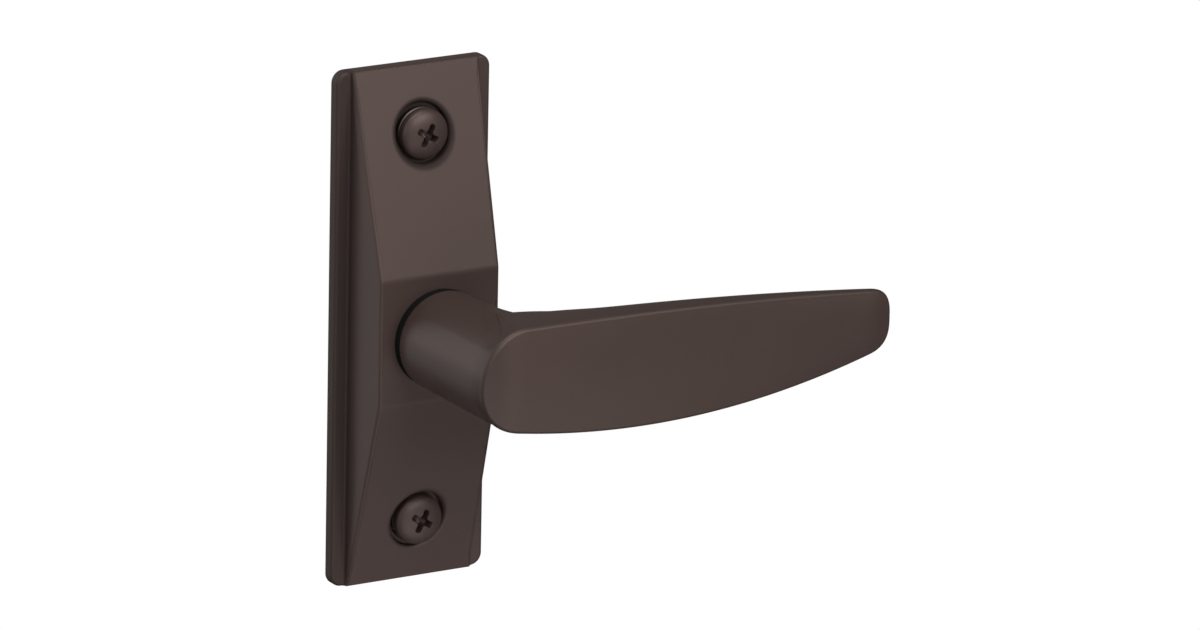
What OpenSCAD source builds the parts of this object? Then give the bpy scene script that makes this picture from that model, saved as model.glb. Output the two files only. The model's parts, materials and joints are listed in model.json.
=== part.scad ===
// Door lever trim: a faceted escutcheon for a narrow door stile with a flat paddle lever.
// X runs across the plate, Z up, and -Y towards the user. The origin lies on the lever's
// turning axis at the door face. Most modules work in a local frame: x across, y up the
// plate and z the height above the door, which on_door() turns into the part's frame.

/* [Escutcheon] */
// Width of the flange
plate_w = 41.3; // [41.3:0.1:44]
// Height of the flange
plate_h = 127; // [126:0.5:132]
// Thickness of the flange
flange_t = 3; // [2.8:0.1:3.2]
// Corner radius of the flange
corner_r = 3; // [2:0.1:4]
// Rounding of the flange's front edge
flange_edge_r = 0.8; // [0.5:0.1:1]
// Width of the raised body at the flange
body_w = 34; // [33.6:0.1:36]
// Width of the raised body at its top ridge
ridge_w = 32.2; // [31:0.1:33]
// Rounding of the raised body's ridges
ridge_r = 0.9; // [0.7:0.1:1.1]
// Height of the raised body at the plate's ends
end_h = 3.7; // [3.6:0.1:4]
// Height of the flat in the middle
plateau_h = 17.1; // [16.9:0.1:18]
// Length of the flat in the middle
plateau_len = 30.7; // [30:0.1:33]
// Wall of the cast shell
shell_wall = 2.6; // [2.4:0.1:2.8]

/* [Lever] */
// Height of the blade's front edge above the door
blade_front_h = 59.6; // [58:0.1:63]
// Bulge of the blade's front face
blade_crown = 0.8; // [0.4:0.1:1.2]
// Reach of the blade from the axis to its tip
blade_reach = 99; // [92:0.1:110]
// Reach of the blade's round end behind the axis
blade_heel = 12.4; // [12.3:0.1:13.5]
// Height of the blade's top edge above the axis
blade_top = 13.8; // [13.5:0.1:15]
// Depth of the blade's bottom edge below the axis
blade_belly = 14.6; // [14.3:0.05:15]
// Thickness of the blade at its tip
tip_t = 1.1; // [1.1:0.1:2.4]
// Thickness that the blade gains per millimetre from the tip to the neck
blade_taper = 0.108; // [0.1:0.002:0.116]
// Extra thickness where the blade joins the neck
root_extra_t = 2.3; // [2:0.1:2.8]
// Thickness of the blade at its heel
heel_t = 1.7; // [1.6:0.1:2.2]
// Diameter of the round neck at its foot
neck_d = 24.2; // [23.8:0.1:24.4]
// Diameter of the neck where it sweeps into the blade
neck_top_d = 25; // [24.6:0.1:25.2]

/* [Bearing] */
// Diameter of the shank that turns in the bush
journal_d = 16; // [15.8:0.1:16.2]
// Running clearance between shank and bush, on the radius
journal_gap = 0.05; // [0.03:0.01:0.08]
// Outer diameter of the bush sleeve
bush_d = 19.8; // [19.6:0.1:20]
// Thickness of the bush's black collar between plate and neck
collar_t = 2.2; // [2:0.05:2.6]
// Diameter of the collar
collar_d = 23.9; // [23.4:0.1:24.2]
// Width across the flats of the shank's keyed end
key_af = 13.2; // [13:0.1:13.4]
// Side of the square drive spindle
spindle_af = 8; // [7:0.5:8]
// Length of drive spindle behind the door face
spindle_out = 30; // [20:1:60]

/* [Travel] */
// Turn of the lever to either side, in degrees
lever_turn = 45; // [30:1:46]

/* [Fixings] */
// Distance of the mounting screws from the plate's ends
screw_end = 15.875; // [15.5:0.125:16.5]
// Thread diameter of the mounting screws
screw_d = 6.35; // [6:0.05:6.4]
// Head diameter of the mounting screws
screw_head_d = 12.2; // [11.8:0.1:12.4]
// Height of the mounting screw heads
screw_head_h = 4.4; // [4:0.1:4.6]
// Length of mounting screw behind the door face
screw_out = 30; // [20:1:60]
// Diameter of the counterbores
counterbore_d = 14.2; // [13.8:0.1:14.4]
// Height of the counterbore floor above the door
seat_h = 5.2; // [5:0.1:5.4]
// Thickness of the lock washers
lock_washer_t = 1.6; // [1.2:0.1:1.6]

/* [Hidden] */
bronze = [0.29, 0.24, 0.22];
dark_screw = [0.30, 0.26, 0.25];
zinc = [0.72, 0.73, 0.74];
spring_steel = [0.45, 0.45, 0.47];
acetal = [0.09, 0.09, 0.09];
fine = 96;
screw_pitch = plate_h - 2 * screw_end;
body_end_inset = 0.15;
cavity_flat_inset = 0.5;
seat_play = 0.05;
hole_play = 0.2;
lug_play = 0.1;
drill_extra = 0.3;
end_slope = (plateau_h - end_h) / (plate_h / 2 - plateau_len / 2);
slope_angle = atan(end_slope);
// Backing plate and the bosses that carry it
back_t = 1.5;
cavity_w = 28.6;
cavity_h = 120;
cavity_play = 0.1;
back_hole_r = 9.9;
back_corner_r = 1;
plate_screw_x = 10.6;
plate_screw_y = 29;
plate_screw_r = 1.5;
plate_screw_head_r = 2.8;
plate_screw_len = 8;
plate_boss_r = 4.2;
plate_cross_len = 3;
plate_cross_w = 0.7;
plate_cross_depth = 0.9;
screw_boss_r = 9.5;
// Stack along the shank, as heights above the door
shank_end_h = 2.6;
groove_h = 3.15;
groove_w = 1.05;
groove_r = 7.2;
ring_t = 0.95;
ring_r = 9.3;
ring_gap_angle = 50;
driver_h = 4.2;
driver_t = 1.95;
thrust_t = 0.8;
wave_t = 0.25;
wave_lift = 0.55;
wave_r_in = 8.5;
wave_r_out = 10.6;
wave_count = 3;
stack_play = 0.02;
thrust_h = driver_h + driver_t + wave_lift + 2 * stack_play;
boss_h = thrust_h + thrust_t;
thrust_r = 10.7;
boss_r = 11.6;
collar_play = 0.05;
hub_h = plateau_h + collar_t + collar_play;
// Driver lug, stops and return spring
driver_disc_r = 10.4;
arm_half_w = 2.5;
lug_half_w = 2;
lug_y0 = 14.4;
lug_y1 = 16.4;
stop_pin_r = 1.5;
stop_pin_y = 12.4;
stop_pin_h = driver_h + driver_t - 2 * seat_play;
stop_play = 0.6;
stop_angle = lever_turn + stop_play + asin((arm_half_w + stop_pin_r) / stop_pin_y);
post_r = 1.8;
post_y = 18.9;
wire_d = 1.6;
coil_turns = 2;
coil_gap = 0.05;
coil_pitch = wire_d + coil_gap;
coil_play = 0.35;
coil_r = boss_r + wire_d / 2 + coil_play;
coil_h0 = boss_h + wire_d / 2 + lug_play;
coil_top_h = coil_h0 + coil_pitch * coil_turns + wire_d / 2;
lug_top_h = coil_top_h;
post_h = coil_top_h;
leg_x = max(post_r, lug_half_w) + wire_d / 2 + lug_play;
leg_over = 0.4;
leg_bend = 1.2;
leg_y = post_y + post_r + leg_over;
leg_angle = asin(leg_x / coil_r);
wire_sides = 8;
coil_step = 10;
// Drive spindle and its cross pin
spindle_in_h = 14;
socket_play = 0.1;
cross_pin_r = 1.5;
cross_pin_h = 10.2;
cross_pin_len = 15.6;
journal_root = 6;
// Mounting screws
screw_side_h = 1.6;
screw_relief_r = 2.75;
head_bevel = 0.2;
dome_power = 0.8;
recess_depth = 2.7;
recess_len = 5.7;
recess_slot_w = 1.2;
recess_core_r = [0.5, 1.6];
recess_core_under = 0.8;
recess_core_over = 0.5;
washer_r_out = 6.2;
washer_r_in = 3.4;
washer_split = 0.9;
washer_split_turn = 25;
// Blade surface: the number of columns on the tip, along the edge and round the heel
tip_cols = 8;
edge_cols = 20;
heel_cols = 20;
half_cols = tip_cols + edge_cols + heel_cols;
cols = 2 * half_cols;
tip_round = 6.2;
tip_power = 0.66;
tip_x = blade_reach - tip_round;
tip_neck_angle = 12;
col_spacing = 1.25;
crown_power = 2.4;
blade_edge_r = 1.1;
back_r_min = 0.2;
neck_ledge = 0.1;
heel_ledge = 0.6;
heel_ledge_x = 7;
heel_ledge_len = 4;
flush_x = 9;
flush_fade = 4;
flush_end = 1.5;
flush_reach = 0.92;
back_r_share = 0.25;
back_r_room = 0.6;
fillet_max = 10;
fillet_share = 0.8;
fillet_rise = 7;
fillet_slope = 0.85;
belly_x = 32;
belly_curve = 0.0024;
top_drop_x = 5;
top_drop_at = 54.8;
top_drop_power = 2.35;
heel_tilt = 0.06;
heel_blend = 4;
root_len = 19;
root_power = 4;
heel_thin_len = 4;
medial_x0 = 3;
medial_x1 = 88;
medial_squeeze = 0.15;
neck_chamfer = 0.4;

// Turns the local frame (x across, y up, z away from the door) into the part's frame
module on_door() {
    rotate([90, 0, 0]) children();
}

// A cylinder between two heights above the door
module post(x, y, r, h0, h1) {
    translate([x, y, h0]) cylinder(r = r, h = h1 - h0, $fn = fine);
}

// A flat ring between two heights
module ring(r_in, r_out, h0, h1) {
    difference() {
        post(0, 0, r_out, h0, h1);
        post(0, 0, r_in, h0 - 1, h1 + 1);
    }
}

// Escutcheon

// One corner of the flange with its rounded front edge
module flange_corner() {
    arc = [for (a = [0:15:90]) [corner_r - flange_edge_r + flange_edge_r * cos(a),
                                flange_t - flange_edge_r + flange_edge_r * sin(a)]];
    rotate_extrude($fn = 32) polygon(concat([[0, 0], [corner_r, 0]], arc, [[0, flange_t]]));
}

module flange() {
    hull() {
        for (sx = [-1, 1]) {
            for (sy = [-1, 1]) {
                translate([sx * (plate_w / 2 - corner_r), sy * (plate_h / 2 - corner_r), 0])
                    flange_corner();
            }
        }
    }
}

// The raised body: drafted walls, rounded ridges, two slopes and the flat in the middle
module raised_body() {
    end_y = plate_h / 2 - body_end_inset;
    end_w = body_w - (body_w - ridge_w) * (end_h - flange_t) / (plateau_h - flange_t);
    hull() {
        translate([-body_w / 2, -end_y, flange_t - 1]) cube([body_w, 2 * end_y, 1]);
        for (sx = [-1, 1]) {
            for (sy = [-1, 1]) {
                translate([sx * (end_w / 2 - ridge_r), sy * (end_y - ridge_r), end_h - ridge_r])
                    sphere(ridge_r, $fn = 32);
                translate([sx * (ridge_w / 2 - ridge_r),
                           sy * (plateau_len / 2 - ridge_r * tan(slope_angle / 2)),
                           plateau_h - ridge_r])
                    sphere(ridge_r, $fn = 32);
            }
        }
    }
}

// The hollow back, following the slopes at the shell's wall
module cavity() {
    cav_end = cavity_h / 2;
    end_top = end_h + (plate_h / 2 - cav_end) * end_slope - shell_wall;
    flat_y = plateau_len / 2 - cavity_flat_inset;
    translate([-cavity_w / 2, 0, 0])
        rotate([90, 0, 90])
            linear_extrude(cavity_w)
                polygon([[-cav_end, -1], [cav_end, -1], [cav_end, end_top],
                         [flat_y, plateau_h - shell_wall], [-flat_y, plateau_h - shell_wall],
                         [-cav_end, end_top]]);
}

// The bosses that stay standing in the hollow back
module bosses() {
    post(0, 0, boss_r, boss_h, plateau_h);
    for (sy = [-1, 1]) {
        post(0, sy * screw_pitch / 2, screw_boss_r, back_t, plateau_h);
        for (sx = [-1, 1]) {
            post(sx * plate_screw_x, sy * plate_screw_y, plate_boss_r, back_t, plateau_h);
        }
    }
}

module escutcheon() {
    color(bronze)
        on_door()
            difference() {
                union() {
                    flange();
                    raised_body();
                }
                difference() {
                    cavity();
                    bosses();
                }
                post(0, 0, bush_d / 2, boss_h - 1, plateau_h + 1);
                for (sy = [-1, 1]) {
                    post(0, sy * screw_pitch / 2, screw_d / 2 + hole_play, -1, seat_h + 1);
                    post(0, sy * screw_pitch / 2, counterbore_d / 2, seat_h, plateau_h);
                    for (sx = [-1, 1]) {
                        post(sx * plate_screw_x, sy * plate_screw_y, plate_screw_r,
                             back_t - 1, plate_screw_len + drill_extra);
                    }
                }
            }
}

// Lever

function mix(a, b, t) = a + (b - a) * t;
function smooth(t) = let (c = min(1, max(0, t))) c * c * (3 - 2 * c);
function belly0() = -blade_belly + belly_curve * belly_x * belly_x;
// Edges of the blade in front view
function heel_shift(x) = heel_tilt * x * (1 - exp(x / heel_blend));
function bottom_edge(x) = x >= 0
    ? -blade_belly + belly_curve * (x - belly_x) * (x - belly_x)
    : belly0() - 2 * belly_curve * belly_x * x * exp(x / heel_blend) + heel_shift(x);
function top_edge(x) = x >= 0
    ? blade_top - pow(max(0, x - top_drop_x) / top_drop_at, top_drop_power)
    : blade_top + heel_shift(x);
function mid_y(x) = (top_edge(x) + bottom_edge(x)) / 2;
function half_y(x) = (top_edge(x) - bottom_edge(x)) / 2;
// Thickness of the blade at a place along it: thin at the heel, thick beside the neck
function root_t() = tip_t + blade_taper * blade_reach + root_extra_t;
function blade_t(x) = x < 0
    ? heel_t + (root_t() - heel_t) * exp(-pow(x / heel_thin_len, 2))
    : tip_t + blade_taper * (blade_reach - x) + root_extra_t * exp(-pow(x / root_len, root_power));
function back_h(x) = blade_front_h - blade_t(x);

// Column k runs from the tip (0) over the top edge to the heel (half_cols) and back below
function fold(k) = k <= half_cols ? k : cols - k;
function side(k) = k <= half_cols ? 1 : -1;
function tip_phase(i) = 90 * i / tip_cols;
function heel_phase(i) = 90 * (i - tip_cols - edge_cols) / heel_cols;
function col_x(i) = i <= tip_cols ? tip_x + tip_round * pow(cos(tip_phase(i)), tip_power)
    : i <= tip_cols + edge_cols
        ? tip_x * pow(1 - (i - tip_cols) / edge_cols, col_spacing)
        : -blade_heel * sin(heel_phase(i));
function col_f(i) = i <= tip_cols ? pow(sin(tip_phase(i)), tip_power)
    : i <= tip_cols + edge_cols ? 1 : cos(heel_phase(i));
function col_angle(i) = i <= tip_cols ? tip_neck_angle * i / tip_cols
    : i <= tip_cols + edge_cols
        ? mix(tip_neck_angle, 90, (i - tip_cols) / edge_cols)
        : 90 + heel_phase(i);
function outline(k) = let (x = col_x(fold(k))) [x, mid_y(x) + side(k) * half_y(x) * col_f(fold(k))];
function neck_point(k, r) = let (a = side(k) * col_angle(fold(k))) [r * cos(a), r * sin(a)];
function squeeze(x) = x < medial_x0 ? medial_x0 - (medial_x0 - x) * medial_squeeze
    : x > medial_x1 ? medial_x1 + (x - medial_x1) * medial_squeeze : x;
function medial(k) = let (x = squeeze(col_x(fold(k)))) [x, mid_y(x)];
// Radius of the neck under the blade, kept a ledge's width inside the blade's outline
function ledge(x) = neck_ledge + heel_ledge * smooth((-x - heel_ledge_x) / heel_ledge_len);
function neck_top_r(k) = let (o = outline(k)) min(neck_top_d / 2, norm(o) - ledge(o[0]));
// 1 where the neck runs flush into the side of the blade, 0 where it meets the back
function flush(x) = smooth((x + flush_x) / flush_fade) * smooth((flush_end - x) / flush_end);
// Rounding of the back edge: a share of the thickness, and less where the neck is close
function back_r(k) = let (o = outline(k)) max(back_r_min,
    min(back_r_share * blade_t(o[0]), back_r_room * (norm(o) - neck_top_r(k)) * (1 - flush(o[0]))));
function inset(k, d) = let (o = outline(k), m = medial(k)) o + (m - o) * d / norm(m - o);
function lift(p, h) = [p[0], p[1], h];

// Concave sweep from the neck wall into the blade's back, angle a from 0 to 90 degrees
function sweep_point(k, a) = let (n = neck_point(k, neck_top_r(k)), o = inset(k, back_r(k)),
        len = norm(o - n), reach = min(fillet_share * len, fillet_max),
        w = flush(outline(k)[0]), out = mix(reach * (1 - cos(a)) / len, flush_reach * smooth(a / 90), w),
        p = n + (o - n) * out,
        drop = (fillet_rise + fillet_slope * reach) * mix(1 - sin(a), 1 - a / 90, w))
    lift(p, back_h(p[0]) - drop);
// Flat of the back from the end of the sweep (0) to the edge rounding (1)
function back_point(k, t) = let (a = sweep_point(k, 90), o = inset(k, back_r(k)),
        p = mix([a[0], a[1]], o, t)) lift(p, back_h(p[0]));
// Rounded back edge and front edge, angle a from 0 to 90 degrees
function back_edge(k, a) = let (r = back_r(k))
    lift(inset(k, r * (1 - sin(a))), back_h(outline(k)[0]) + r * (1 - cos(a)));
function front_edge(k, a) = lift(inset(k, blade_edge_r * (1 - cos(a))),
    blade_front_h - blade_edge_r * (1 - sin(a)));
// Crowned front face from the edge (0) to the middle line (1)
function front_point(k, t) = let (p = mix(inset(k, blade_edge_r), medial(k), t))
    lift(p, blade_front_h + blade_crown * (1 - pow(1 - t, crown_power)));

function column(k) = concat(
    [lift(neck_point(k, neck_d / 2 - neck_chamfer), hub_h),
     lift(neck_point(k, neck_d / 2), hub_h + neck_chamfer)],
    [for (a = [0:15:90]) sweep_point(k, a)],
    [for (t = [1, 2, 3]) back_point(k, t / 3)],
    [for (a = [30, 60, 90]) back_edge(k, a)],
    [for (a = [0, 30, 60, 90]) front_edge(k, a)],
    [for (t = [0.12, 0.3, 0.55, 0.8]) front_point(k, t)]);

module blade() {
    rows = len(column(0));
    points = [for (k = [0:cols - 1]) each column(k)];
    walls = [for (k = [0:cols - 1]) for (j = [0:rows - 2])
        let (a = k * rows + j, b = ((k + 1) % cols) * rows + j) each [[a, b, b + 1], [a, b + 1, a + 1]]];
    base = [[for (k = [cols - 1:-1:0]) k * rows]];
    top = rows - 1;
    cap = [for (k = [0:half_cols - 1])
        let (a = k * rows + top, b = (k + 1) * rows + top,
             c = ((cols - k - 1) % cols) * rows + top, d = ((cols - k) % cols) * rows + top)
        each concat(b != c ? [[a, b, c]] : [], d != a ? [[a, c, d]] : [])];
    faces = concat(walls, base, cap);
    polyhedron(points, [for (f = faces) [for (i = [len(f) - 1:-1:0]) f[i]]], convexity = 6);
}

// The keyed end of the shank: a round bar with two flats
module key_section(r, af, h0, h1) {
    intersection() {
        post(0, 0, r, h0, h1);
        translate([-af / 2, -r - 1, h0 - 1]) cube([af, 2 * r + 2, h1 - h0 + 2]);
    }
}

module lever() {
    socket = spindle_af + socket_play;
    round_h = driver_h + driver_t + seat_play;
    color(bronze)
        on_door()
            difference() {
                union() {
                    blade();
                    post(0, 0, journal_d / 2, round_h, hub_h + journal_root);
                    key_section(journal_d / 2, key_af, shank_end_h, round_h + 1);
                }
                translate([-socket / 2, -socket / 2, 0]) cube([socket, socket, spindle_in_h + drill_extra]);
                difference() {
                    post(0, 0, journal_d, groove_h, groove_h + groove_w);
                    post(0, 0, groove_r, 0, boss_h);
                }
                translate([0, 0, cross_pin_h])
                    rotate([0, 90, 0])
                        cylinder(r = cross_pin_r, h = journal_d + 2, center = true, $fn = fine);
            }
}

// Bearing parts

module spindle_bush() {
    color(acetal)
        on_door()
            difference() {
                union() {
                    post(0, 0, bush_d / 2, boss_h, plateau_h + collar_t);
                    post(0, 0, collar_d / 2, plateau_h, plateau_h + collar_t);
                }
                post(0, 0, journal_d / 2 + journal_gap, boss_h - 1, hub_h);
            }
}

// A thin ring that waves between the driver and the thrust washer
module wave_washer() {
    low = driver_h + driver_t + stack_play;
    amp = (wave_lift - wave_t) / 2;
    turn = [for (a = [0:5:355]) a];
    points = [for (a = turn) let (h = low + amp * (1 + cos(wave_count * a)))
        each [for (c = [[wave_r_in, 0], [wave_r_out, 0], [wave_r_out, wave_t], [wave_r_in, wave_t]])
            [c[0] * cos(a), c[0] * sin(a), h + c[1]]]];
    n = len(turn);
    faces = [for (k = [0:n - 1]) for (j = [0:3])
        let (a = 4 * k + j, b = 4 * k + (j + 1) % 4, c = 4 * ((k + 1) % n))
        each [[a, c + (j + 1) % 4, b], [a, c + j, c + (j + 1) % 4]]];
    color(spring_steel) on_door() polyhedron(points, faces, convexity = 4);
}

module thrust_washer() {
    color(zinc) on_door() ring(journal_d / 2 + hole_play, thrust_r, thrust_h, boss_h);
}

module retaining_ring() {
    color(spring_steel)
        on_door()
            translate([0, 0, groove_h + seat_play])
                rotate(270 + ring_gap_angle / 2)
                    rotate_extrude(angle = 360 - ring_gap_angle, $fn = fine)
                        translate([groove_r + seat_play, 0])
                            square([ring_r - groove_r - seat_play, ring_t]);
}

// Return mechanism

module spring_driver() {
    color(zinc)
        on_door()
            difference() {
                union() {
                    post(0, 0, driver_disc_r, driver_h, driver_h + driver_t);
                    translate([-arm_half_w, -lug_y1, driver_h])
                        cube([2 * arm_half_w, lug_y1, driver_t]);
                    translate([-lug_half_w, -lug_y1, driver_h])
                        cube([2 * lug_half_w, lug_y1 - lug_y0, lug_top_h - driver_h]);
                }
                key_section(journal_d / 2 + seat_play, key_af + 2 * seat_play, driver_h - 1, boss_h);
            }
}

// Path of the spring wire: a leg, the coil round the boss and the second leg
function coil_path() = let (a0 = 270 + leg_angle, turn = 360 * coil_turns - 2 * leg_angle,
        rise = coil_pitch * coil_turns, last = coil_h0 + rise)
    concat([[leg_x, -leg_y, coil_h0], [leg_x, -coil_r - leg_bend, coil_h0]],
           [for (a = [coil_step:coil_step:turn - coil_step])
               [coil_r * cos(a0 + a), coil_r * sin(a0 + a), coil_h0 + rise * a / turn]],
           [[-leg_x, -coil_r - leg_bend, last], [-leg_x, -leg_y, last]]);

// A wire of round section along a path that never runs straight along z
module wire(path, d) {
    n = len(path);
    s = wire_sides;
    points = [for (i = [0:n - 1])
        let (t = path[min(n - 1, i + 1)] - path[max(0, i - 1)],
             u = cross([0, 0, 1], t) / norm(cross([0, 0, 1], t)), v = cross(t, u) / norm(t))
        each [for (j = [0:s - 1]) path[i] + d / 2 * (cos(360 * j / s) * u + sin(360 * j / s) * v)]];
    sides = [for (i = [0:n - 2]) for (j = [0:s - 1])
        let (a = i * s + j, b = i * s + (j + 1) % s) each [[a, b + s, b], [a, a + s, b + s]]];
    ends = [[for (j = [0:s - 1]) j], [for (j = [s - 1:-1:0]) (n - 1) * s + j]];
    polyhedron(points, concat(sides, ends), convexity = 8);
}

module return_spring() {
    color(spring_steel) on_door() wire(coil_path(), wire_d);
}

module spring_post() {
    color(zinc) on_door() post(0, -post_y, post_r, 0, post_h);
}

module stop_pin(s) {
    a = 270 + s * stop_angle;
    color(zinc) on_door() post(stop_pin_y * cos(a), stop_pin_y * sin(a), stop_pin_r, 0, stop_pin_h);
}

// Backing plate and its screws

module backing_plate() {
    w = cavity_w - 2 * cavity_play;
    h = cavity_h - 2 * cavity_play;
    color(zinc)
        on_door()
            difference() {
                union() {
                    translate([-w / 2, -h / 2 + back_corner_r, 0])
                        cube([w, h - 2 * back_corner_r, back_t]);
                    translate([-w / 2 + back_corner_r, -h / 2, 0])
                        cube([w - 2 * back_corner_r, h, back_t]);
                    for (sx = [-1, 1]) {
                        for (sy = [-1, 1]) {
                            post(sx * (w / 2 - back_corner_r), sy * (h / 2 - back_corner_r),
                                 back_corner_r, 0, back_t);
                        }
                    }
                }
                post(0, 0, back_hole_r, -1, back_t + 1);
                post(0, -post_y, post_r, -1, back_t + 1);
                for (s = [-1, 1]) {
                    post(stop_pin_y * cos(270 + s * stop_angle), stop_pin_y * sin(270 + s * stop_angle),
                         stop_pin_r, -1, back_t + 1);
                    post(0, s * screw_pitch / 2, screw_d / 2 + hole_play, -1, back_t + 1);
                    for (sx = [-1, 1]) {
                        post(sx * plate_screw_x, s * plate_screw_y, plate_screw_r, -1, back_t + 1);
                        translate([sx * plate_screw_x, s * plate_screw_y, 0])
                            cylinder(r1 = plate_screw_head_r, r2 = plate_screw_r,
                                     h = plate_screw_head_r - plate_screw_r, $fn = fine);
                    }
                }
            }
}

// Countersunk screw with a cross recess, head flush with the backing plate
module plate_screw(sx, sy) {
    head = plate_screw_head_r - plate_screw_r;
    color(zinc)
        on_door()
            translate([sx * plate_screw_x, sy * plate_screw_y, 0])
                difference() {
                    union() {
                        cylinder(r1 = plate_screw_head_r, r2 = plate_screw_r, h = head, $fn = fine);
                        cylinder(r = plate_screw_r, h = plate_screw_len, $fn = fine);
                    }
                    for (a = [0, 90]) {
                        rotate(a)
                            cube([plate_cross_len, plate_cross_w, 2 * plate_cross_depth], center = true);
                    }
                }
}

// Drive spindle

module drive_spindle() {
    color(zinc)
        on_door()
            difference() {
                translate([-spindle_af / 2, -spindle_af / 2, -spindle_out])
                    cube([spindle_af, spindle_af, spindle_out + spindle_in_h]);
                translate([0, 0, cross_pin_h])
                    rotate([0, 90, 0])
                        cylinder(r = cross_pin_r, h = spindle_af + 2, center = true, $fn = fine);
            }
}

module spindle_pin() {
    color(spring_steel)
        on_door()
            translate([0, 0, cross_pin_h])
                rotate([0, 90, 0])
                    cylinder(r = cross_pin_r, h = cross_pin_len, center = true, $fn = fine);
}

// Mounting screws and lock washers

// Pan head: a short straight side and a domed top, with a cross recess
module mounting_screw(s) {
    under = seat_h + lock_washer_t;
    dome_h = screw_head_h - screw_side_h;
    head_r = screw_head_d / 2;
    dome = [for (a = [0:10:90])
        [head_r * pow(cos(a), dome_power), under + screw_side_h + dome_h * sin(a)]];
    top = under + screw_head_h;
    color(dark_screw)
        on_door()
            translate([0, s * screw_pitch / 2, 0])
                difference() {
                    union() {
                        rotate_extrude($fn = fine)
                            polygon(concat([[0, under], [head_r - head_bevel, under],
                                            [head_r, under + head_bevel]], dome));
                        post(0, 0, screw_d / 2, -screw_out, 0);
                        post(0, 0, screw_relief_r, -1, under + 1);
                    }
                    for (a = [0, 90]) {
                        rotate(a)
                            translate([-recess_len / 2, -recess_slot_w / 2, top - recess_depth])
                                cube([recess_len, recess_slot_w, recess_depth + 1]);
                    }
                    translate([0, 0, top - recess_depth - recess_core_under])
                        cylinder(r1 = recess_core_r[0], r2 = recess_core_r[1],
                                 h = recess_depth + recess_core_under + recess_core_over, $fn = fine);
                }
}

// Split ring washer, pressed flat
module lock_washer(s) {
    color(dark_screw)
        on_door()
            translate([0, s * screw_pitch / 2, 0])
                difference() {
                    ring(washer_r_in, washer_r_out, seat_h, seat_h + lock_washer_t);
                    translate([washer_r_in - 1, 0, seat_h + lock_washer_t / 2])
                        rotate([washer_split_turn, 0, 0])
                            translate([0, -washer_split / 2, -lock_washer_t * 2])
                                cube([washer_r_out, washer_split, lock_washer_t * 4]);
                }
}

escutcheon();
lever();
spindle_bush();
wave_washer();
thrust_washer();
spring_driver();
return_spring();
spring_post();
stop_pin(-1);  // stop_pin_left
stop_pin(1);  // stop_pin_right
retaining_ring();
backing_plate();
plate_screw(-1, 1);  // plate_screw_1
plate_screw(1, 1);  // plate_screw_2
plate_screw(-1, -1);  // plate_screw_3
plate_screw(1, -1);  // plate_screw_4
drive_spindle();
spindle_pin();
mounting_screw(1);  // mounting_screw_upper
mounting_screw(-1);  // mounting_screw_lower
lock_washer(1);  // lock_washer_upper
lock_washer(-1);  // lock_washer_lower
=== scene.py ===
"""Looks for a door lever trim: a faceted bronze escutcheon with a flat paddle lever.

Shapes are worked out in millimetres in a local frame: x across the plate, y up the plate
and h the height above the door. place() turns them into the part's frame, in metres.
"""

import json
import math

import bmesh
import bpy
import numpy as np
from bpy.props import FloatProperty, FloatVectorProperty, IntProperty, PointerProperty
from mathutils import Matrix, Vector


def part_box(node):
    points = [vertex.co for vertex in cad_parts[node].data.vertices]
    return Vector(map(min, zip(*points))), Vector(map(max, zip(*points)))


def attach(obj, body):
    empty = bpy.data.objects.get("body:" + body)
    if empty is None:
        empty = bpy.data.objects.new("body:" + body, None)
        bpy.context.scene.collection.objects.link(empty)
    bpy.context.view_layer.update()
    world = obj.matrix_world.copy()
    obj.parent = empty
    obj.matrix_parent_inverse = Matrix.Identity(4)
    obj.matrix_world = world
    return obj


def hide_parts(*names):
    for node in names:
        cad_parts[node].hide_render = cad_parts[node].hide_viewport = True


bl_info = {
    "name": "Door lever trim",
    "version": (1, 0, 0),
    "blender": (4, 5, 0),
    "location": "View3D > Sidebar > Lever trim",
    "description": "Builds the looks of a door lever trim around its packed frame",
    "category": "Object",
}

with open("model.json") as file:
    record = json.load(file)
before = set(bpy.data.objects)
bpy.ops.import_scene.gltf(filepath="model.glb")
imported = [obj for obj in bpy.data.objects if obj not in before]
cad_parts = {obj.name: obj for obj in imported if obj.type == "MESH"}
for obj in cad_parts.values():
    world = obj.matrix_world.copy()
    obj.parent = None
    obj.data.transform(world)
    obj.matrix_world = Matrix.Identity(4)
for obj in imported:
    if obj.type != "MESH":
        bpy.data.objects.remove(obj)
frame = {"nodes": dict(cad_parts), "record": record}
MM = 0.001
TURN = 2 * math.pi
QUARTER = math.pi / 2
# Keeps a division off zero, and stands for a border that a ray never meets
TINY = 1e-9
FAR = 1e6
# Points closer than this, in metres, are merged
MERGE_M = 1e-6


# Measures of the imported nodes, in millimetres


def node_box(name):
    """Lowest and highest corner of a CAD node as (x, h, y), in millimetres."""
    lo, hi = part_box(name)
    return np.array([lo.x, -hi.y, lo.z]) / MM, np.array([hi.x, -lo.y, hi.z]) / MM


PLATE_HALF_X, PLATE_TOP, PLATE_HALF_Y = node_box("escutcheon")[1]
SCREW_LO, SCREW_HI = node_box("mounting_screw_upper")
WASHER_LO, WASHER_HI = node_box("lock_washer_upper")
# Height of both screws' axes above and below the lever's axis
SCREW_Y = (SCREW_LO[2] + SCREW_HI[2]) / 2
# Foot of the neck, a running clearance in front of the collar
HUB_H = node_box("spindle_bush")[1][1] + 0.05


def length(name, description, default):
    """A length in millimetres that the user can change."""
    return FloatProperty(name=name, description=f"{description}, in mm", default=default)


# Objects and meshes


def link_object(name, data):
    """A new object at the origin, in the scene's own collection."""
    obj = bpy.data.objects.new(name, data)
    bpy.context.scene.collection.objects.link(obj)
    return obj


def place(points):
    """Local (x, y, h) in millimetres to the part's frame (x, -h, y) in metres."""
    p = np.asarray(points, float)
    return np.stack([p[..., 0], -p[..., 2], p[..., 1]], -1) * MM


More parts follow.
